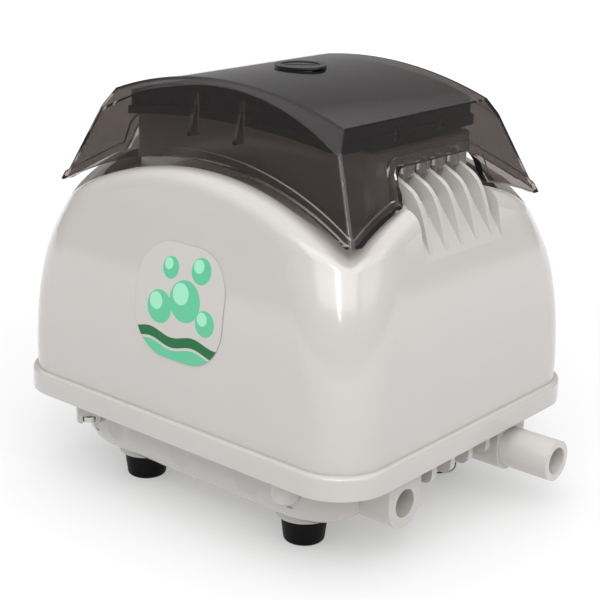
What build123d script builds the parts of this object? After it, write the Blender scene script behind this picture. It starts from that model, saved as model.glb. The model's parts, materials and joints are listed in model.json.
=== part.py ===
from build123d import *
import math
import os

# Linear diaphragm air pump. Millimetres, +Z up, feet on Z = 0.
# +X is the end with the two air ports; -Y is the long side with the label.
# Every shape is drawn about the middle of the body. ROW_SHIFT_X then moves it
# all, so that the origin is the middle of the footprint with the pipe counted.

# Housing and its flange
HALF_LENGTH = 120.6
HALF_WIDTH = 102.9
CORNER_RADIUS = 29.6
FLANGE_BOTTOM = 50.4
FLANGE_TOP = 62.5
FLANGE_STEP = 57.0
FLANGE_SKIRT = 2.8
WALL = 2.8
# Height, inset from the flange outline and corner radius of the outer wall
WALL_PROFILE = [
    (52.0, 3.0, 26.6),
    (68.0, 3.0, 26.6),
    (84.0, 3.2, 27.0),
    (96.0, 3.6, 27.8),
    (111.0, 4.6, 29.2),
    (122.0, 5.8, 30.5),
    (130.0, 7.0, 31.6),
    (139.0, 8.8, 33.4),
    (150.0, 11.6, 36.8),
    (158.0, 13.6, 40.0),
    (167.0, 15.4, 43.0),
    (178.0, 17.2, 45.0),
    (190.0, 18.8, 46.0),
    (206.0, 21.0, 47.0),
]

# Arched shoulder of the housing
SIDE_ARCH_TOP = 186.3
SIDE_ARCH_RADIUS = 180.0
END_ARCH_TOP = 180.5
END_ARCH_RADIUS = 140.0
CREST_WIDTH = 12.5
CREST_ROLL = 11.0
GUTTER_DEPTH = 9.0

# Filter box, fins and scoop
BOX_HALF_LENGTH = 80.0
BOX_HALF_WIDTH = 42.0
BOX_ARCH_TOP = 207.7
BOX_ARCH_RADIUS = 450.0
BOX_FLOOR = 176.0
BOX_FLOOR_THICKNESS = 3.0
FIN_PITCH = 13.0
FIN_THICKNESS = 3.0
SCOOP_HALF_WIDTH = 33.0
POST_RADIUS = 8.0
POST_TOP = 224.2

# Filter: shallow arched tray with a foam pad on it
TRAY_HALF_LENGTH = 73.4
TRAY_HALF_WIDTH = 57.2
TRAY_SHEET = 2.2
TRAY_LIP = 2.0
PAD_HALF_LENGTH = 71.4
PAD_HALF_WIDTH = 55.2
SEAT_GAP = 0.3

# Smoked cover
COVER_TOP = 229.4
COVER_RADIUS = 227.6
COVER_SHEET = 2.4
COVER_TOP_HALF_WIDTH = 58.9
COVER_BAND_OUT = 8.3
COVER_BAND_DOWN = 9.1
END_SLOPE = math.tan(math.radians(24.4))
SIDE_SLOPE = math.tan(math.radians(16.2))
RIM_SIDE_TOP = 190.8
RIM_SIDE_RADIUS = 207.0
RIM_END_TOP = 181.3
RIM_END_RADIUS = 190.0
RIM_BAND = 4.5
RIM_STEP = 1.4
COVER_TIP = 166.6
NOTCH_HALF_WIDTH = 34.5
NOTCH_TOP = 194.5

# Base and feet
TANK_HALF_LENGTH = 96.0
TANK_HALF_WIDTH = 86.0
TANK_BOTTOM = 18.0
TANK_WALL = 3.0
PLATE_BOTTOM = 50.8
PLATE_TOP = 54.0
FOOT_X = 58.5
FOOT_Y = 59.0
FOOT_HEIGHT = 14.2
BOSS_BOTTOM = 14.5
LUG_X = 71.5
LUG_Y = 89.0
LID_SCREWS = [(-60, -75.5), (0, -75.5), (60, -75.5), (-60, 75.5), (0, 75.5), (60, 75.5)]

# Ports
PORT_Y = 47.3
PORT_Z = 33.3
PORT_FACE_X = 112.9
PORT_BOSS_RADIUS = 13.0
PIPE_RADIUS = 11.0
PIPE_SEAT_RADIUS = 10.5
PIPE_BORE = 7.4
PLUG_RADIUS = 6.9
PIPE_END_X = 141.8

# Mains cord inlet in the left wall
CORD_Y = -55.0
CORD_Z = 78.0

# Pump mechanism
AXIS_Z = 105.0
LID_BOTTOM = 55.6
LID_TOP = 59.0
FRAME_BOTTOM = 74.0
FRAME_TOP = 78.0
PLATE_X = 54.0
PLATE_THICKNESS = 4.4
DIAPHRAGM_X = 60.0
HEAD_X = 61.6
HEAD_FACE_X = 80.0
HEAD_COVER_X = 80.3
HEAD_END_X = 96.0
HEAD_HALF = 31.0
HOSE_X = 84.4

ROW_SHIFT_X = -(PIPE_END_X - HALF_LENGTH) / 2

nodes = {}


def rod(radius, low, high, x=0.0, y=0.0):
    """Upright cylinder from low to high."""
    body = Cylinder(radius, high - low)
    return Pos(x, y, (low + high) / 2) * body


def rod_x(radius, low, high, y=0.0, z=0.0):
    """Cylinder along X from low to high."""
    body = Rot(0, 90, 0) * Cylinder(radius, high - low)
    return Pos((low + high) / 2, y, z) * body


def block(x0, x1, y0, y1, z0, z1):
    """Box given by its six limits."""
    body = Box(x1 - x0, y1 - y0, z1 - z0)
    return Pos((x0 + x1) / 2, (y0 + y1) / 2, (z0 + z1) / 2) * body


def slab(half_x, half_y, radius, low, high):
    """Flat plate with rounded corners."""
    outline = Plane.XY.offset(low) * RectangleRounded(2 * half_x, 2 * half_y, radius)
    return extrude(outline, high - low)


def side_prism(points, y0, y1):
    """Outline in X and Z, carried along Y from y0 to y1."""
    plane = Plane(origin=(0, y0, 0), x_dir=(1, 0, 0), z_dir=(0, -1, 0))
    outline = plane * make_face(Polyline(*points, close=True))
    return extrude(outline, amount=-(y1 - y0))


def end_prism(sketch, x0, x1):
    """Sketch whose axes are Y and Z, carried along X from x0 to x1."""
    plane = Plane(origin=(x0, 0, 0), x_dir=(0, 1, 0), z_dir=(1, 0, 0))
    return extrude(plane * sketch, amount=x1 - x0)


def along_y(radius, top):
    """Long cylinder along Y whose highest line is at the given height."""
    return Pos(0, 0, top - radius) * (Rot(90, 0, 0) * Cylinder(radius, 320))


def along_x(radius, top):
    """Long cylinder along X whose highest line is at the given height."""
    return Pos(0, 0, top - radius) * (Rot(0, 90, 0) * Cylinder(radius, 360))


def shell(extra):
    """Housing body inside the wall surface moved in by extra."""
    faces = []
    for height, inset, radius in WALL_PROFILE:
        move = inset + extra
        outline = RectangleRounded(
            2 * (HALF_LENGTH - move),
            2 * (HALF_WIDTH - move),
            max(radius - extra, 3.0),
        )
        faces.append(Plane.XY.offset(height) * outline)
    return loft(faces)


def vaults(drop):
    """Everything below the two crossing arches of the shoulder."""
    side = along_y(SIDE_ARCH_RADIUS, SIDE_ARCH_TOP - drop)
    end = along_x(END_ARCH_RADIUS, END_ARCH_TOP - drop)
    return side + end


def mirrored_x(body):
    """Copy of a body at the other end of the pump."""
    return mirror(body, about=Plane.YZ)


def both_ends(body):
    """Body together with its copy at the other end."""
    return body + mirrored_x(body)


# ---------------------------------------------------------------- housing
FLOOR_LINE = [
    (110.6, 148.0),
    (107.6, 153.4),
    (103.2, 160.0),
    (97.2, 168.0),
    (90.8, 177.0),
    (84.4, 188.0),
]
FIN_EDGE = [
    (80.2, 191.2),
    (85.9, 188.0),
    (90.6, 185.6),
    (94.8, 182.8),
    (98.0, 179.0),
    (100.6, 174.0),
    (102.8, 168.0),
    (104.8, 161.5),
    (106.6, 155.5),
    (108.2, 149.5),
]


def prism_of(lines, y0, y1):
    """Closed outline in X and Z made of curves, carried along Y."""
    plane = Plane(origin=(0, y0, 0), x_dir=(1, 0, 0), z_dir=(0, -1, 0))
    return extrude(plane * make_face(lines), amount=-(y1 - y0))


def scoop(inward, half_width):
    """Space scooped out of the end wall around the fins."""
    line = [(x - inward, z - 0.4 * inward) for x, z in FLOOR_LINE]
    curve = Spline(*line)
    back = 80.0 - inward
    rest = Polyline(
        line[-1], (back, 196.0), (back, 215.0), (130.0, 215.0), (130.0, line[0][1]), line[0]
    )
    return prism_of([curve, rest], -half_width, half_width)


def fin(y):
    """One upright fin of the end wall."""
    curve = Spline(*FIN_EDGE)
    rest = Polyline(FIN_EDGE[-1], (95.0, 149.5), (79.0, 165.0), (79.0, 191.2), FIN_EDGE[0])
    return prism_of([curve, rest], y - FIN_THICKNESS / 2, y + FIN_THICKNESS / 2)


def make_housing():
    """White upper housing with flange, shoulder, filter box and fins."""
    flange = slab(HALF_LENGTH, HALF_WIDTH, CORNER_RADIUS, FLANGE_BOTTOM, FLANGE_TOP)
    top_edges = flange.edges().group_by(Axis.Z)[-1]
    flange = fillet(top_edges, 2.4)
    body = shell(0.0) & vaults(0.0)
    high = [edge for edge in body.edges() if edge.bounding_box().min.Z > 120]
    outer = []
    for edge in high:
        middle = edge.center()
        if max(abs(middle.X) / 105, abs(middle.Y) / 86) > 0.88:
            outer.append(edge)
    body = fillet(outer, CREST_ROLL)
    crest = block(-140, 140, -140, 140, 120, 240)
    gutter = (shell(CREST_WIDTH) & crest) - vaults(GUTTER_DEPTH)
    body = body - gutter
    box = slab(BOX_HALF_LENGTH, BOX_HALF_WIDTH, 4.0, 150, 215)
    box = box & along_y(BOX_ARCH_RADIUS, BOX_ARCH_TOP)
    body = body + box
    outer_scoop = scoop(0.0, SCOOP_HALF_WIDTH)
    body = body - both_ends(outer_scoop)
    body = body + flange
    cavity = shell(WALL) & vaults(GUTTER_DEPTH + 3.2)
    cavity = cavity & block(-140, 140, -140, 140, FLANGE_STEP, 240)
    cavity = cavity + block(-77, 77, -39, 39, 120, BOX_FLOOR)
    cavity = cavity - both_ends(scoop(3.2, SCOOP_HALF_WIDTH + 3.0))
    skirt = slab(
        HALF_LENGTH - FLANGE_SKIRT,
        HALF_WIDTH - FLANGE_SKIRT,
        CORNER_RADIUS - FLANGE_SKIRT,
        FLANGE_BOTTOM - 1,
        FLANGE_STEP,
    )
    body = body - cavity - skirt
    air_box = slab(77, 39, 2.0, BOX_FLOOR + BOX_FLOOR_THICKNESS, 215)
    body = body - air_box
    for row in range(-4, 5):
        for side in (-1, 1):
            x = row * 15.0
            slot = block(x - 5, x + 5, side * 22 - 14, side * 22 + 14, 170, BOX_FLOOR + 5)
            if row != 0:
                body = body - slot
    for number in range(-2, 3):
        one = fin(number * FIN_PITCH)
        body = body + both_ends(one)
    post = rod(POST_RADIUS, BOX_FLOOR, POST_TOP)
    body = body + post
    body = body - rod(3.1, 184.0, POST_TOP + 1)
    for x in (-LUG_X, LUG_X):
        for y in (-LUG_Y, LUG_Y):
            boss = rod(5.6, FLANGE_STEP + 0.3, 82.0, x, y)
            rib = block(x - 1.5, x + 1.5, min(y, y * 1.105), max(y, y * 1.105), 64, 80)
            body = body + boss + rib
            body = body - rod(2.3, FLANGE_STEP, 77.0, x, y)
    grommet_hole = rod_x(7.0, -124, -110, CORD_Y, CORD_Z)
    return body - grommet_hole


nodes["upper_housing"] = make_housing()

label_outline = Pos(7.0, 124.0) * RectangleRounded(60.0, 58.0, 22.0)
label_plane = Plane(origin=(0, -120, 0), x_dir=(1, 0, 0), z_dir=(0, -1, 0))
label_prism = extrude(label_plane * label_outline, amount=-60)
nodes["face_label"] = (shell(-0.45) - shell(-0.2)) & label_prism


# ------------------------------------------------------------------ cover
def roof(inward):
    """Arched top with its sloping side bands, extended past the walls."""
    radius = COVER_RADIUS - inward
    centre_z = COVER_TOP - COVER_RADIUS
    half_width = COVER_TOP_HALF_WIDTH - 0.42 * inward

    def arch_face(y, drop):
        plane = Plane(origin=(0, y, centre_z - drop), x_dir=(1, 0, 0), z_dir=(0, -1, 0))
        disc = Circle(radius)
        keep = Pos(0, radius - 30) * Rectangle(250, 120)
        return plane * (disc & keep)

    middle = loft([arch_face(-half_width, 0), arch_face(half_width, 0)], ruled=True)
    steps = 2.4
    reach = half_width + steps * COVER_BAND_OUT
    drop = steps * COVER_BAND_DOWN
    right = loft([arch_face(half_width, 0), arch_face(reach, drop)], ruled=True)
    left = loft([arch_face(-half_width, 0), arch_face(-reach, drop)], ruled=True)
    return middle + right + left


def skirt(outward):
    """Four sloping walls of the cover, moved out by outward."""
    faces = []
    for height in (150.0, 235.0):
        half_x = 77.5 + (215.9 - height) * END_SLOPE + outward * 1.1
        half_y = 67.2 + (206.8 - height) * SIDE_SLOPE + outward * 1.04
        outline = RectangleRounded(2 * half_x, 2 * half_y, 2.6 + outward)
        faces.append(Plane.XY.offset(height) * outline)
    return loft(faces, ruled=True)


def notch(grow):
    """Opening in each end skirt above the fins."""
    half = NOTCH_HALF_WIDTH + grow
    top = NOTCH_TOP + grow
    outline = Pos(0, top - 20) * RectangleRounded(2 * half, 40, 8.0)
    outline = outline + Pos(0, 160) * Rectangle(2 * half, 36)
    foot = 183.0 - 0.5 * grow
    flare = Polyline((half, foot), (half + 4.5, 172.0), (half, 172.0), close=True)
    outline = outline + make_face(flare)
    flare = Polyline((-half, foot), (-half - 4.5, 172.0), (-half, 172.0), close=True)
    outline = outline + make_face(flare)
    return both_ends(end_prism(outline, 70, 130))


def make_cover():
    """Smoked see-through cover with its rim, fingers and ribs."""
    inner = roof(COVER_SHEET) & skirt(-COVER_SHEET)
    sheet = (roof(0.0) & skirt(0.0)) - inner
    band = skirt(RIM_STEP) - skirt(-COVER_SHEET)
    reach = along_y(RIM_SIDE_RADIUS, RIM_SIDE_TOP + RIM_BAND)
    reach = reach + along_x(RIM_END_RADIUS, RIM_END_TOP + RIM_BAND)
    reach = reach + notch(RIM_BAND)
    band = band & reach & block(-130, 130, -100, 100, COVER_TIP, 212)
    sheet = sheet & block(-130, 130, -100, 100, COVER_TIP, 240)
    body = sheet + band
    body = body - along_y(RIM_SIDE_RADIUS, RIM_SIDE_TOP)
    body = body - along_x(RIM_END_RADIUS, RIM_END_TOP)
    body = body - notch(0.0)
    inside = roof(0.6) & skirt(-0.6)
    for number in (-1.5, -0.5, 0.5, 1.5):
        y = number * FIN_PITCH
        outline = Pos(y, 200) * RectangleRounded(8.4, 26, 3.0)
        finger = end_prism(outline, 83.6, 86.2)
        body = body + both_ends(finger & inside)
    for x in (-15.0, 16.0):
        for side in (-1, 1):
            near = min(side * 60.0, side * 72.0)
            rib = block(x - 1.1, x + 1.1, near, near + 12.0, 200, 221)
            body = body + (rib & inside)
    for y in (-19.7, 17.4):
        rib = block(77.0, 84.0, y - 0.9, y + 0.9, 204, 215)
        body = body + both_ends(rib & inside)
    body = body - rod(11.3, 215, 240)
    return body


nodes["top_cover"] = make_cover()

ring = rod(11.0, 224.5, 229.7) + rod(13.7, 229.7, 230.8)
ring = ring - rod(10.15, 226.5, 240) - rod(4.0, 220, 240)
nodes["cover_screw_ring"] = ring

screw = rod(10.05, 226.8, 230.4) + rod(3.0, 188.0, 226.8)
slot = Pos(0, 0, 229.6) * (Rot(0, 0, 45) * Box(16.5, 2.3, 1.6))
nodes["cover_screw"] = screw - slot

# ----------------------------------------------------------------- filter
tray_under = BOX_ARCH_TOP + SEAT_GAP
tray_face = tray_under + TRAY_SHEET
tray = slab(TRAY_HALF_LENGTH, TRAY_HALF_WIDTH, 7.0, 190, 220)
tray = tray & along_y(BOX_ARCH_RADIUS, tray_face + TRAY_LIP)
tray = tray - along_y(BOX_ARCH_RADIUS, tray_under)
pad_space = slab(PAD_HALF_LENGTH + SEAT_GAP, PAD_HALF_WIDTH + SEAT_GAP, 5.3, 190, 220)
tray = tray - (pad_space - along_y(BOX_ARCH_RADIUS, tray_face))
for column in range(-5, 6):
    for side in (-1, 1):
        x = column * 12.5
        hole = block(x - 4.5, x + 4.5, side * 22 - 15, side * 22 + 15, 190, 215)
        if column != 0:
            tray = tray - hole
tray = tray - rod(POST_RADIUS + 0.4, 190, 215)
nodes["filter_tray"] = tray

foam = slab(PAD_HALF_LENGTH, PAD_HALF_WIDTH, 5.0, 190, 232) & roof(COVER_SHEET + 1.6)
foam = foam - along_y(BOX_ARCH_RADIUS, tray_face + SEAT_GAP)
foam = foam - rod(POST_RADIUS + 0.8, 190, 220) - rod(11.8, 214, 240)
nodes["filter_element"] = foam


# ------------------------------------------------------------------- base
def port_boss(y):
    """Port moulding: round below, straight sides up to the plate."""
    outline = Pos(y, PORT_Z) * Circle(PORT_BOSS_RADIUS)
    top = PLATE_BOTTOM + 0.4
    rise = Rectangle(2 * PORT_BOSS_RADIUS, top - PORT_Z)
    outline = outline + Pos(y, (top + PORT_Z) / 2) * rise
    return end_prism(outline, TANK_HALF_LENGTH - 12, PORT_FACE_X)


def make_base():
    """Air tank with its plate, port mouldings, foot bosses and screw lugs."""
    tank = slab(TANK_HALF_LENGTH, TANK_HALF_WIDTH, 32.0, TANK_BOTTOM, PLATE_TOP)
    tank = fillet(tank.edges().group_by(Axis.Z)[0], 17.0)
    plate = slab(HALF_LENGTH - 3.3, HALF_WIDTH - 3.3, CORNER_RADIUS - 3.3, PLATE_BOTTOM, PLATE_TOP)
    body = tank + plate
    for y in (-PORT_Y, PORT_Y):
        body = body + port_boss(y)
    for x in (-FOOT_X, FOOT_X):
        for y in (-FOOT_Y, FOOT_Y):
            boss = rod(15.3, BOSS_BOTTOM, 30.0, x, y)
            low = boss.edges().group_by(Axis.Z)[0]
            body = body + fillet(low, 1.2)
    for x in (-LUG_X, LUG_X):
        for y in (-LUG_Y, LUG_Y):
            lug = rod(7.2, 36.4, PLATE_TOP, x, y)
            low = lug.edges().group_by(Axis.Z)[0]
            body = body + fillet(low, 1.6)
    for y in (-24.0, -8.0, 8.0, 24.0):
        outline = Pos(101, 42) * RectangleRounded(25, 12.4, 5.0)
        outline = outline + Pos(101, 47.5) * Rectangle(25, 7)
        plane = Plane(origin=(0, y - 2, 0), x_dir=(1, 0, 0), z_dir=(0, -1, 0))
        rib = extrude(plane * outline, amount=-4)
        body = body + both_ends(rib)
    hollow = slab(
        TANK_HALF_LENGTH - TANK_WALL,
        TANK_HALF_WIDTH - TANK_WALL,
        32.0 - TANK_WALL,
        TANK_BOTTOM + TANK_WALL,
        PLATE_BOTTOM,
    )
    hollow = fillet(hollow.edges().group_by(Axis.Z)[0], 14.0)
    for x in (-FOOT_X, FOOT_X):
        for y in (-FOOT_Y, FOOT_Y):
            hollow = hollow - rod(9.0, 16.0, 30.0, x, y)
    for x in (-LUG_X, LUG_X):
        for y in (-LUG_Y, LUG_Y):
            hollow = hollow - rod(7.2, 36.4, PLATE_TOP, x, y)
    body = body - hollow
    body = body - slab(88.0, 72.0, 20.0, PLATE_BOTTOM - 1, PLATE_TOP + 1)
    for x in (-52.5, -5.5, 42.5):
        body = body - rod(24.0, 20.0, PLATE_BOTTOM, x, -TANK_HALF_WIDTH - 22.7)
    body = body - rod_x(PIPE_SEAT_RADIUS + 0.08, 99.0, 120, PORT_Y, PORT_Z)
    body = body - rod_x(PIPE_BORE, 84.0, 120, PORT_Y, PORT_Z)
    body = body - rod_x(PIPE_BORE, 97.3, 120, -PORT_Y, PORT_Z)
    body = body - rod_x(PLUG_RADIUS, 84.0, 120, -PORT_Y, PORT_Z)
    for x in (-FOOT_X, FOOT_X):
        for y in (-FOOT_Y, FOOT_Y):
            body = body - rod(2.3, 10.0, 26.0, x, y)
    for x in (-LUG_X, LUG_X):
        for y in (-LUG_Y, LUG_Y):
            body = body - rod(2.6, 30.0, 60.0, x, y)
            body = body - rod(5.0, 30.0, 40.4, x, y)
    for x, y in LID_SCREWS:
        body = body - rod(1.7, PLATE_BOTTOM - 3, PLATE_TOP + 1, x, y)
    return body


nodes["base_tank"] = make_base()

seal = slab(
    HALF_LENGTH - 3.6,
    HALF_WIDTH - 3.6,
    CORNER_RADIUS - 3.6,
    PLATE_TOP + 0.3,
    FLANGE_STEP - 0.3,
)
seal = seal - slab(HALF_LENGTH - 8.0, HALF_WIDTH - 8.0, CORNER_RADIUS - 8.0, 50, 60)
nodes["housing_seal"] = seal

tank_seal = slab(92.5, 79.0, 22.0, PLATE_TOP + 0.3, LID_BOTTOM - 0.3)
tank_seal = tank_seal - slab(88.0, 72.0, 20.0, 50, 60)
lid = slab(92.5, 79.0, 22.0, LID_BOTTOM, LID_TOP)
screw_list = []
for x, y in LID_SCREWS:
    tank_seal = tank_seal - rod(2.2, 50, 60, x, y)
    lid = lid - rod(1.9, 50, 62, x, y)
    shank = rod(1.5, 51.5, LID_TOP + 0.3, x, y)
    screw_list.append(shank + rod(3.2, LID_TOP + 0.3, LID_TOP + 2.3, x, y))
for side in (-1, 1):
    lid = lid + rod(6.0, LID_TOP - 0.5, 66.0, side * HOSE_X, 0)
    lid = lid - rod(4.0, 50, 70, side * HOSE_X, 0)
for x, y in ((-44, -36), (44, -36), (-44, 36), (44, 36)):
    lid = lid + rod(3.0, LID_TOP - 0.5, LID_TOP + 3.0, x, y)
nodes["tank_seal"] = tank_seal
nodes["tank_lid"] = lid
nodes["lid_screws"] = Compound(children=screw_list)

housing_screws = []
foot_screws = []
for x in (-LUG_X, LUG_X):
    for y in (-LUG_Y, LUG_Y):
        shank = rod(2.1, 40.0, 74.0, x, y)
        head = rod(4.4, 37.2, 40.1, x, y)
        cross = block(x - 2.6, x + 2.6, y - 0.5, y + 0.5, 36, 38.6)
        cross = cross + block(x - 0.5, x + 0.5, y - 2.6, y + 2.6, 36, 38.6)
        housing_screws.append(shank + head - cross)
nodes["housing_screws"] = Compound(children=housing_screws)

FEET = {
    "foot_front_left": (-FOOT_X, -FOOT_Y),
    "foot_front_right": (FOOT_X, -FOOT_Y),
    "foot_rear_left": (-FOOT_X, FOOT_Y),
    "foot_rear_right": (FOOT_X, FOOT_Y),
}
for name, (x, y) in FEET.items():
    foot = Pos(x, y, FOOT_HEIGHT / 2) * Cone(10.6, 12.4, FOOT_HEIGHT)
    low = foot.edges().group_by(Axis.Z)[0]
    foot = fillet(low, 1.6)
    foot = foot - rod(5.4, -1, 6.5, x, y) - rod(2.5, 0, 20, x, y)
    nodes[name] = foot
    head = rod(4.6, 3.0, 6.2, x, y)
    cross = block(x - 2.6, x + 2.6, y - 0.5, y + 0.5, 2, 4.4)
    cross = cross + block(x - 0.5, x + 0.5, y - 2.6, y + 2.6, 2, 4.4)
    foot_screws.append(head + rod(2.1, 6.1, 24.0, x, y) - cross)
nodes["foot_screws"] = Compound(children=foot_screws)

pipe = rod_x(PIPE_RADIUS, PORT_FACE_X + 0.05, PIPE_END_X, PORT_Y, PORT_Z)
pipe = pipe + rod_x(PIPE_SEAT_RADIUS, 99.2, PORT_FACE_X + 1, PORT_Y, PORT_Z)
nodes["outlet_pipe"] = pipe - rod_x(PIPE_BORE, 90, 150, PORT_Y, PORT_Z)
nodes["blanking_plug"] = rod_x(PLUG_RADIUS - 0.06, 88.0, 97.0, -PORT_Y, PORT_Z)

grommet = rod_x(6.8, -118.2, -114.3, CORD_Y, CORD_Z)
grommet = grommet + rod_x(9.6, -119.8, -117.9, CORD_Y, CORD_Z)
grommet = grommet + rod_x(9.0, -114.5, -112.6, CORD_Y, CORD_Z)
nodes["cord_grommet"] = grommet - rod_x(3.6, -125, -105, CORD_Y, CORD_Z)

# -------------------------------------------------------------- mechanism
DAMPERS = {
    "damper_front_left": (-44, -36),
    "damper_front_right": (44, -36),
    "damper_rear_left": (-44, 36),
    "damper_rear_right": (44, 36),
}
for name, (x, y) in DAMPERS.items():
    damper = rod(8.0, LID_TOP + 0.3, FRAME_BOTTOM - 0.3, x, y)
    waist = rod(9.0, 63.5, 69.5, x, y) - rod(6.2, 63.5, 69.5, x, y)
    damper = damper - waist - rod(3.3, 50, 62.3, x, y) - rod(2.3, 68, 76, x, y)
    nodes[name] = damper

frame = block(-58.4, 58.4, -46, 46, FRAME_BOTTOM, FRAME_TOP)
for side in (-1, 1):
    low = min(side * PLATE_X, side * (PLATE_X + PLATE_THICKNESS))
    top = AXIS_Z + HEAD_HALF
    frame = frame + block(low, low + PLATE_THICKNESS, -HEAD_HALF, HEAD_HALF, FRAME_BOTTOM, top)
    frame = frame - rod_x(22.0, low - 1, low + 6, 0, AXIS_Z)
    rail_near = min(side * 35, side * 43.5)
    rail = block(-33, 33, rail_near, rail_near + 8.5, FRAME_TOP - 1, 92.7)
    frame = frame + rail
for x, y in DAMPERS.values():
    frame = frame - rod(2.3, 70, 80, x, y)
for x in (-29, 29):
    for y in (-39.5, 39.5):
        frame = frame - rod(1.9, 82, 94, x, y)
for side in (-1, 1):
    for y in (-25, 25):
        for z in (AXIS_Z - 25, AXIS_Z + 25):
            low = min(side * 50, side * 62)
            frame = frame - rod_x(1.9, low, low + 12, y, z)
nodes["motor_frame"] = frame

core_screws = []
for name, side in (("front", -1), ("rear", 1)):
    back = min(side * 34, side * 44)
    leg = min(side * 14, side * 35)
    core = block(-34, 34, back, back + 10, 93, 117)
    for x0, x1 in ((-34, -24), (-8, 8), (24, 34)):
        core = core + block(x0, x1, leg, leg + 21, 93, 117)
    for x in (-29, 29):
        y = side * 39.5
        core = core - rod(2.3, 90, 120, x, y)
        core_screws.append(rod(1.7, 84, 117.3, x, y) + rod(3.6, 117.3, 120.3, x, y))
    nodes["stator_core_" + name] = core
    sleeve = min(side * 15.5, side * 32.5)
    bobbin = block(-9.6, 9.6, sleeve, sleeve + 17, 91.4, 118.6)
    for y in (15.5, 31.1):
        low = min(side * y, side * (y + 1.4))
        bobbin = bobbin + block(-21.5, 21.5, low, low + 1.4, 80.0, 130.0)
    bobbin = bobbin - block(-8.3, 8.3, -40, 40, 92.7, 117.3)
    nodes["bobbin_" + name] = bobbin
    coil = slab(20.6, 24.0, 6.0, 17.2, 30.8) - slab(9.9, 13.9, 0.2, 15.0, 33.0)
    turn = Rot(90, 0, 0) if side < 0 else Rot(-90, 0, 0)
    nodes["winding_" + name] = Pos(0, 0, AXIS_Z) * (turn * coil)
nodes["core_screws"] = Compound(children=core_screws)

armature = block(-30, 30, -11, 11, AXIS_Z - 15, AXIS_Z + 15)
armature = armature + rod_x(6.0, -55.2, 55.2, 0, AXIS_Z) + rod_x(4.0, -71.0, 71.0, 0, AXIS_Z)
for name, x in (("left", -14.5), ("right", 14.5)):
    armature = armature - block(x - 9.1, x + 9.1, -20, 20, AXIS_Z - 12.1, AXIS_Z + 12.1)
    nodes["magnet_" + name] = block(x - 9, x + 9, -11.4, 11.4, AXIS_Z - 12, AXIS_Z + 12)
nodes["armature"] = armature

nuts = []
head_screws = []
for name, side in (("left", -1), ("right", 1)):
    turn = Rot(0, 0, 180) if side < 0 else Rot(0, 0, 0)
    disc = rod_x(27.0, DIAPHRAGM_X - 1.25, DIAPHRAGM_X + 1.25, 0, AXIS_Z)
    fold = rod_x(20.5, DIAPHRAGM_X - 1.3, DIAPHRAGM_X - 0.3, 0, AXIS_Z)
    fold = fold - rod_x(15.0, 50, 70, 0, AXIS_Z)
    disc = disc - fold - rod_x(4.3, 50, 70, 0, AXIS_Z)
    nodes["diaphragm_" + name] = turn * disc
    inner_plate = rod_x(14.0, 55.5, 58.45, 0, AXIS_Z) - rod_x(4.1, 50, 70, 0, AXIS_Z)
    outer_plate = rod_x(14.0, 61.55, 64.2, 0, AXIS_Z) - rod_x(4.1, 50, 70, 0, AXIS_Z)
    nodes["inner_plate_" + name] = turn * inner_plate
    nodes["outer_plate_" + name] = turn * outer_plate
    hexagon = end_prism(Pos(0, AXIS_Z) * RegularPolygon(6.2, 6), 64.4, 69.4)
    nuts.append(turn * (hexagon - rod_x(4.1, 50, 75, 0, AXIS_Z)))
    head_outline = Pos(0, AXIS_Z) * RectangleRounded(2 * HEAD_HALF, 2 * HEAD_HALF, 5.0)
    head = end_prism(head_outline, HEAD_X, HEAD_FACE_X)
    head = head - rod_x(21.0, HEAD_X - 1, 75.0, 0, AXIS_Z)
    cap = end_prism(head_outline, HEAD_COVER_X, HEAD_END_X)
    for z0, z1 in ((AXIS_Z - 20, AXIS_Z - 1.5), (AXIS_Z + 1.5, AXIS_Z + 20)):
        cap = cap - block(HEAD_COVER_X - 1, HEAD_END_X - 3, -18, 18, z0, z1)
    cap = cap + rod(6.0, 67.0, FRAME_BOTTOM, HOSE_X, 0)
    cap = cap - rod(4.0, 60.0, 88.0, HOSE_X, 0)
    cap = cap - rod(5.0, 120.0, 140.0, 87.0, 0)
    for y in (-25, 25):
        for z in (AXIS_Z - 25, AXIS_Z + 25):
            head = head - rod_x(2.3, 55, 85, y, z)
            cap = cap - rod_x(2.3, 75, 105, y, z)
            bolt = rod_x(1.7, 55.0, HEAD_END_X + 0.3, y, z)
            bolt = bolt + rod_x(3.6, HEAD_END_X + 0.3, HEAD_END_X + 3.3, y, z)
            head_screws.append(turn * bolt)
    for z in (AXIS_Z - 11.5, AXIS_Z + 11.5):
        head = head - rod_x(1.5, 70, 85, 0, z)
        for y in (-3.6, 3.6):
            head = head - rod_x(1.3, 70, 85, y, z)
    suction = rod_x(5.4, 72.7, 74.7, 0, AXIS_Z + 11.5)
    suction = suction + rod_x(1.2, 74.0, 81.6, 0, AXIS_Z + 11.5)
    discharge = rod_x(5.4, 80.3, 82.3, 0, AXIS_Z - 11.5)
    discharge = discharge + rod_x(1.2, 73.4, 81.0, 0, AXIS_Z - 11.5)
    nodes["suction_valve_" + name] = turn * suction
    nodes["discharge_valve_" + name] = turn * discharge
    nodes["pump_head_" + name] = turn * head
    nodes["head_cover_" + name] = turn * cap
nodes["rod_nuts"] = Compound(children=nuts)
nodes["head_screws"] = Compound(children=head_screws)

for name, side in (("left", -1), ("right", 1)):
    hose = rod(9.0, LID_TOP + 0.8, 73.6, side * HOSE_X, 0)
    nodes["outlet_hose_" + name] = hose - rod(6.3, 55, 80, side * HOSE_X, 0)

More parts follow.
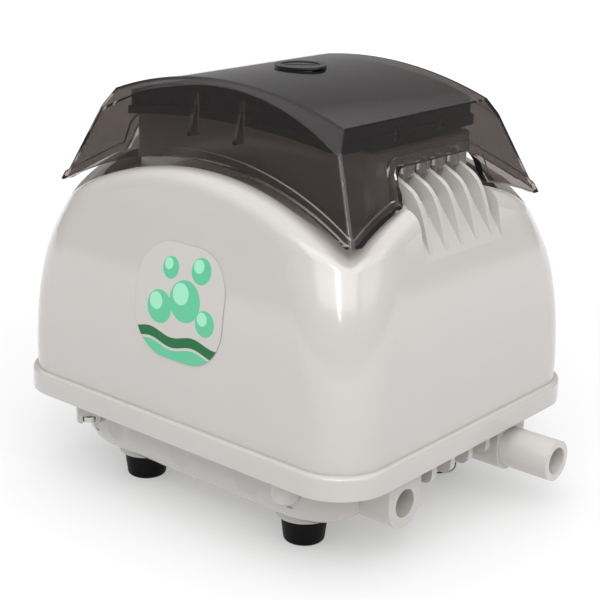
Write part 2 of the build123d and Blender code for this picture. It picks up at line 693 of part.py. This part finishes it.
terminal = block(-86, -50, -72, -56, LID_TOP + 0.3, LID_TOP + 15)
terminal_screws = []
for number in range(3):
    x = -80 + number * 12
    terminal = terminal - block(x - 4, x + 4, -70, -58, LID_TOP + 9, LID_TOP + 16)
    terminal = terminal - rod(1.9, LID_TOP + 4, LID_TOP + 10, x, -64)
    shank = rod(1.6, LID_TOP + 5, LID_TOP + 9.3, x, -64)
    terminal_screws.append(shank + rod(3.2, LID_TOP + 9.3, LID_TOP + 11.3, x, -64))
nodes["terminal_block"] = terminal
nodes["terminal_screws"] = Compound(children=terminal_screws)

switch = block(-8, 8, -6.5, 6.5, FRAME_TOP + 0.3, 86.0)
switch = switch - block(-2.6, 2.6, -2.6, 2.6, 81.0, 90)
nodes["stop_switch"] = switch
nodes["switch_plunger"] = block(-2.55, 2.55, -2.55, 2.55, 83.2, 88.4)

os.makedirs("parts", exist_ok=True)
for name, body in nodes.items():
    pieces = [Pos(ROW_SHIFT_X, 0, 0) * piece for piece in body.solids()]
    shifted = pieces[0] if len(pieces) == 1 else Compound(children=pieces)
    shifted.label = name
    export_step(shifted, "parts/" + name + ".step")
    print(name, round(shifted.volume), len(pieces))
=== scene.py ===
import bpy
import json
import math
from mathutils import Matrix, Vector


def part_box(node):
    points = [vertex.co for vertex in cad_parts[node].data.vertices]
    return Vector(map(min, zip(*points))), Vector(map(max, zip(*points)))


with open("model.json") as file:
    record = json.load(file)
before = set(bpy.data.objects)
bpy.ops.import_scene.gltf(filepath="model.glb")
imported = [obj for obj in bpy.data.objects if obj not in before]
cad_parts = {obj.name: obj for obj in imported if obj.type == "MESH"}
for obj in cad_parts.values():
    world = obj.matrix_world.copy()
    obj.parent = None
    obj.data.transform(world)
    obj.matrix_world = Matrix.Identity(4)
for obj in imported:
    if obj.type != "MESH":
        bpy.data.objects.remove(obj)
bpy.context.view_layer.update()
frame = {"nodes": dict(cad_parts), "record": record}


# ---------------------------------------------------------------- shader helpers
# Each new material under its slot's name, since the imported model already holds the plain names
by_slot = {}


def material(name, color, rough, **values):
    """New node material with a Principled shader; returns the parts needed to add detail."""
    mat = bpy.data.materials.new(name)
    by_slot[name] = mat
    mat.use_nodes = True
    tree = mat.node_tree
    shader = tree.nodes["Principled BSDF"]
    shader.inputs["Base Color"].default_value = (*color, 1.0)
    shader.inputs["Roughness"].default_value = rough
    for key, value in values.items():
        shader.inputs[key.replace("_", " ")].default_value = value
    return tree, shader


def object_coordinates(tree):
    return tree.nodes.new("ShaderNodeTexCoord").outputs["Object"]


def noise(tree, scale, detail=4.0):
    """Value of a noise on object coordinates."""
    node = tree.nodes.new("ShaderNodeTexNoise")
    node.inputs["Scale"].default_value = scale
    node.inputs["Detail"].default_value = detail
    tree.links.new(object_coordinates(tree), node.inputs["Vector"])
    return node.outputs["Fac"]


def ramp(tree, source, low, high):
    """Colour ramp fed by a value; low and high are (position, (r, g, b))."""
    node = tree.nodes.new("ShaderNodeValToRGB")
    for element, (position, color) in zip(node.color_ramp.elements, (low, high)):
        element.position = position
        element.color = (*color, 1.0)
    tree.links.new(source, node.inputs["Fac"])
    return node.outputs["Color"]


def map_range(tree, source, **values):
    """Map Range node fed by a value, with its own limits."""
    node = tree.nodes.new("ShaderNodeMapRange")
    for key, value in values.items():
        node.inputs[key.replace("_", " ")].default_value = value
    tree.links.new(source, node.inputs["Value"])
    return node.outputs["Result"]


def bump(tree, shader, source, strength, distance):
    node = tree.nodes.new("ShaderNodeBump")
    node.inputs["Strength"].default_value = strength
    node.inputs["Distance"].default_value = distance
    tree.links.new(source, node.inputs["Height"])
    tree.links.new(node.outputs["Normal"], shader.inputs["Normal"])


def math_node(tree, operation, a, b=None):
    """Math node fed by sockets or numbers."""
    node = tree.nodes.new("ShaderNodeMath")
    node.operation = operation
    for i, value in enumerate((a, b)):
        if value is None:
            continue
        if isinstance(value, (int, float)):
            node.inputs[i].default_value = value
        else:
            tree.links.new(value, node.inputs[i])
    return node.outputs[0]


MIX_COLOR_A = 6
MIX_COLOR_B = 7
MIX_COLOR_RESULT = 2


def mix_color(tree, factor, a, b):
    """Colour b where factor is 1, colour a where it is 0."""
    node = tree.nodes.new("ShaderNodeMix")
    node.data_type = "RGBA"
    tree.links.new(factor, node.inputs["Factor"])
    for i, color in ((MIX_COLOR_A, a), (MIX_COLOR_B, b)):
        if isinstance(color, tuple):
            node.inputs[i].default_value = (*color, 1.0)
        else:
            tree.links.new(color, node.inputs[i])
    return node.outputs[MIX_COLOR_RESULT]


# ---------------------------------------------------------------- materials
MIN_ROUGHNESS = 0.02


def tinted(name, low, high, rough, scale=60.0, rough_span=0.06, bump_scale=900.0,
           bump_strength=0.05, bump_distance=0.0002, **values):
    """Moulded or cast material: gentle colour variation, uneven gloss and a fine skin."""
    tree, shader = material(name, low, rough, **values)
    cloud = noise(tree, scale)
    color = ramp(tree, cloud, (0.3, low), (0.7, high))
    tree.links.new(color, shader.inputs["Base Color"])
    gloss = map_range(tree, cloud, To_Min=max(rough - rough_span, MIN_ROUGHNESS), To_Max=rough + rough_span)
    tree.links.new(gloss, shader.inputs["Roughness"])
    bump(tree, shader, noise(tree, bump_scale, 2.0), bump_strength, bump_distance)


def laminations():
    """Stacked steel sheets: fine lines across Z."""
    tree, shader = material("lamination_steel", (0.2, 0.2, 0.21), 0.45, Metallic=0.9)
    lines = tree.nodes.new("ShaderNodeTexWave")
    lines.bands_direction = "Z"
    lines.inputs["Scale"].default_value = 320.0
    lines.inputs["Distortion"].default_value = 0.4
    tree.links.new(object_coordinates(tree), lines.inputs["Vector"])
    stripes = lines.outputs["Fac"]
    color = ramp(tree, stripes, (0.2, (0.10, 0.10, 0.11)), (0.8, (0.26, 0.26, 0.27)))
    tree.links.new(color, shader.inputs["Base Color"])
    bump(tree, shader, stripes, 0.4, 0.0003)


def smoked():
    """See-through brown-grey plastic sheet with a glossy skin."""
    tree, shader = material("smoked_cover", (0.3, 0.27, 0.26), 0.04,
                            IOR=1.45, Transmission_Weight=0.985)
    color = ramp(tree, noise(tree, 25.0, 3.0), (0.3, (0.305, 0.270, 0.257)), (0.7, (0.320, 0.283, 0.270)))
    tree.links.new(color, shader.inputs["Base Color"])
    bump(tree, shader, noise(tree, 180.0, 2.0), 0.02, 0.0002)


FILM = (0.495, 0.478, 0.456)
BUBBLE_GREEN = (0.10, 0.47, 0.265)
SHINE_GREEN = (0.30, 0.66, 0.46)
WAVE_GREEN = (0.0, 0.115, 0.03)
# Place from the middle of the sticker along X and Z, and radius, in metres
BUBBLES = [
    (-0.013, -0.004, 0.0085),
    (0.004, 0.002, 0.0105),
    (0.0185, -0.006, 0.0065),
    (-0.008, 0.0165, 0.0055),
    (0.0125, 0.0185, 0.0065),
]
SHINE_OFFSET = 0.3
SHINE_RADIUS = 0.52
WAVE_HEIGHT = -0.0165
WAVE_SWING = 0.0014
WAVE_NUMBER = 210.0
# Depth below the crest at which each band of the wave starts, and its colour
WAVE_BANDS = [(0.0, WAVE_GREEN), (0.0052, FILM), (0.0066, BUBBLE_GREEN)]


def label_film():
    """Clear film sticker with a plain pattern of rising bubbles over a wave."""
    tree, shader = material("label_green", (0.53, 0.51, 0.49), 0.3, Specular_IOR_Level=0.35)
    low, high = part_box("face_label")
    middle_x = (low[0] + high[0]) / 2
    middle_z = (low[2] + high[2]) / 2
    split = tree.nodes.new("ShaderNodeSeparateXYZ")
    tree.links.new(object_coordinates(tree), split.inputs[0])
    x, z = split.outputs["X"], split.outputs["Z"]

    def disc(place_x, place_z, radius):
        """1 inside a disc on the sticker, else 0."""
        dx = math_node(tree, "SUBTRACT", x, middle_x + place_x)
        dz = math_node(tree, "SUBTRACT", z, middle_z + place_z)
        square_x = math_node(tree, "MULTIPLY", dx, dx)
        square_z = math_node(tree, "MULTIPLY", dz, dz)
        distance = math_node(tree, "SQRT", math_node(tree, "ADD", square_x, square_z))
        return math_node(tree, "LESS_THAN", distance, radius)

    color = FILM
    for place_x, place_z, radius in BUBBLES:
        offset = SHINE_OFFSET * radius
        shine = disc(place_x - offset, place_z + offset, radius * SHINE_RADIUS)
        color = mix_color(tree, disc(place_x, place_z, radius), color, BUBBLE_GREEN)
        color = mix_color(tree, shine, color, SHINE_GREEN)

    sine = math_node(tree, "SINE", math_node(tree, "MULTIPLY", x, WAVE_NUMBER))
    swing = math_node(tree, "MULTIPLY", sine, WAVE_SWING)
    crest = math_node(tree, "ADD", swing, middle_z + WAVE_HEIGHT)
    for depth, band_color in WAVE_BANDS:
        below = math_node(tree, "LESS_THAN", math_node(tree, "ADD", z, depth), crest)
        color = mix_color(tree, below, color, band_color)
    tree.links.new(color, shader.inputs["Base Color"])
    bump(tree, shader, noise(tree, 500.0, 2.0), 0.03, 0.0001)


# Mouldings
tinted("housing_white", (0.468, 0.450, 0.430), (0.478, 0.459, 0.439), 0.20, 30.0, 0.03,
       700.0, 0.03, 0.0001, Coat_Weight=0.5, Coat_Roughness=0.08)
tinted("pipe_white", (0.53, 0.512, 0.487), (0.54, 0.522, 0.496), 0.26, 40.0, 0.04, 700.0, 0.04, 0.0001)
tinted("black_plastic", (0.010, 0.010, 0.011), (0.016, 0.016, 0.017), 0.16, 50.0, 0.03)
tinted("dark_plastic", (0.010, 0.010, 0.011), (0.016, 0.016, 0.017), 0.5, 50.0)
tinted("lid_plastic", (0.46, 0.45, 0.42), (0.50, 0.49, 0.46), 0.4, 40.0)
smoked()
label_film()

# Rubber and foam
tinted("filter_foam", (0.004, 0.004, 0.005), (0.016, 0.016, 0.018), 0.9, 900.0, 0.04, 1400.0, 0.9, 0.0012)
tinted("soft_rubber", (0.014, 0.014, 0.014), (0.022, 0.022, 0.022), 0.62, 70.0, 0.07)
tinted("foot_rubber", (0.002, 0.002, 0.002), (0.004, 0.004, 0.004), 0.5, 70.0, 0.07,
       Specular_IOR_Level=0.12)

# Metals
tinted("zinc_steel", (0.50, 0.50, 0.48), (0.62, 0.62, 0.60), 0.3, 400.0, 0.08, Metallic=1.0)
tinted("cast_aluminium", (0.55, 0.55, 0.56), (0.66, 0.66, 0.67), 0.42, 260.0, 0.1,
       500.0, 0.25, 0.0004, Metallic=1.0)
tinted("copper_wire", (0.55, 0.22, 0.09), (0.72, 0.33, 0.15), 0.32, 90.0, Metallic=1.0)
tinted("magnet_dark", (0.10, 0.10, 0.11), (0.16, 0.16, 0.17), 0.45, 300.0, 0.08, Metallic=0.8)
tinted("terminal_brass", (0.62, 0.45, 0.18), (0.72, 0.55, 0.26), 0.3, 300.0, Metallic=1.0)
laminations()


def give(obj, mat):
    obj.data.materials.clear()
    obj.data.materials.append(mat)


for part in frame["record"]["subparts"]:
    give(frame["nodes"][part["node"]], by_slot[part["material_slot"]])


# ---------------------------------------------------------------- floor
FLOOR_HALF = 6.0
FLOOR_GREY = (0.52, 0.52, 0.52)
# The floor gives off a little light, more of it further away from the pump
GLOW_FROM = 0.3
GLOW_TO = 1.4
GLOW_NEAR = 0.33
GLOW_FAR = 0.62


def add_floor():
    s = FLOOR_HALF
    mesh = bpy.data.meshes.new("floor")
    mesh.from_pydata([(-s, -s, 0), (s, -s, 0), (s, s, 0), (-s, s, 0)], [], [(0, 1, 2, 3)])
    floor = bpy.data.objects.new("floor", mesh)
    bpy.context.collection.objects.link(floor)
    tree, shader = material("floor_white", FLOOR_GREY, 0.9, Specular_IOR_Level=0.0,
                            Emission_Color=(1.0, 1.0, 1.0, 1.0))
    distance = tree.nodes.new("ShaderNodeVectorMath")
    distance.operation = "LENGTH"
    tree.links.new(object_coordinates(tree), distance.inputs[0])
    glow = map_range(tree, distance.outputs["Value"],
                     From_Min=GLOW_FROM, From_Max=GLOW_TO, To_Min=GLOW_NEAR, To_Max=GLOW_FAR)
    tree.links.new(glow, shader.inputs["Emission Strength"])
    give(floor, by_slot["floor_white"])


# ---------------------------------------------------------------- world
SEEN_STRENGTH = 1.05
HORIZON = (0.45, (0.30, 0.30, 0.30))
ZENITH = (0.75, (1.45, 1.45, 1.46))


def add_world():
    """Plain white to the camera; the pump is lit by a room that is darker towards the horizon."""
    world = bpy.data.worlds.new("studio")
    bpy.context.scene.world = world
    world.use_nodes = True
    tree = world.node_tree
    seen = tree.nodes["Background"]
    seen.inputs["Color"].default_value = (1.0, 1.0, 1.0, 1.0)
    seen.inputs["Strength"].default_value = SEEN_STRENGTH
    coordinates = tree.nodes.new("ShaderNodeTexCoord")
    split = tree.nodes.new("ShaderNodeSeparateXYZ")
    tree.links.new(coordinates.outputs["Generated"], split.inputs[0])
    room = tree.nodes.new("ShaderNodeBackground")
    tree.links.new(ramp(tree, split.outputs["Z"], HORIZON, ZENITH), room.inputs["Color"])
    path = tree.nodes.new("ShaderNodeLightPath")
    mixer = tree.nodes.new("ShaderNodeMixShader")
    tree.links.new(path.outputs["Is Camera Ray"], mixer.inputs["Fac"])
    tree.links.new(room.outputs["Background"], mixer.inputs[1])
    tree.links.new(seen.outputs["Background"], mixer.inputs[2])
    tree.links.new(mixer.outputs["Shader"], tree.nodes["World Output"].inputs["Surface"])


# ---------------------------------------------------------------- lights
LIGHT_AIM = Vector((0, 0, 0.14))


def area(name, place, size, power):
    """Rectangular light, aimed at the middle of the pump."""
    data = bpy.data.lights.new(name, "AREA")
    data.shape = "RECTANGLE"
    data.size, data.size_y = size
    data.energy = power
    light = bpy.data.objects.new(name, data)
    bpy.context.collection.objects.link(light)
    light.location = place
    light.rotation_euler = (LIGHT_AIM - Vector(place)).to_track_quat("-Z", "Y").to_euler()


# ---------------------------------------------------------------- camera
AZIMUTH = math.radians(40.54)
ELEVATION = math.radians(18.31)
ROLL = math.radians(1.04)
DISTANCE = 0.7738
CAMERA_TARGET = Vector((-0.0106, 0, 0.099))
SENSOR_WIDTH = 36.0
LENS = 84.42
SHIFT_X = 0.0063
SHIFT_Y = 0.0072
CLIP_START = 0.01


def add_camera():
    data = bpy.data.cameras.new("camera")
    camera = bpy.data.objects.new("camera", data)
    bpy.context.collection.objects.link(camera)
    across = math.cos(ELEVATION)
    back = Vector((across * math.sin(AZIMUTH), -across * math.cos(AZIMUTH), math.sin(ELEVATION)))
    level_right = Vector((math.cos(AZIMUTH), math.sin(AZIMUTH), 0))
    level_up = back.cross(level_right)
    right = level_right * math.cos(ROLL) + level_up * math.sin(ROLL)
    up = level_up * math.cos(ROLL) - level_right * math.sin(ROLL)
    place = Matrix((right, up, back)).transposed().to_4x4()
    place.translation = CAMERA_TARGET + back * DISTANCE
    camera.matrix_world = place
    data.sensor_width = SENSOR_WIDTH
    data.lens = LENS
    data.shift_x = SHIFT_X
    data.shift_y = SHIFT_Y
    data.clip_start = CLIP_START
    bpy.context.scene.camera = camera


add_floor()
add_world()
area("key", (0.75, -0.95, 1.35), (1.7, 1.2), 15.0)
area("side", (1.35, 0.0, 1.0), (0.7, 0.7), 2.2)
area("corner", (0.92, -1.06, 0.98), (0.11, 0.62), 2.6)
add_camera()
bpy.context.scene.view_settings.view_transform = "Standard"
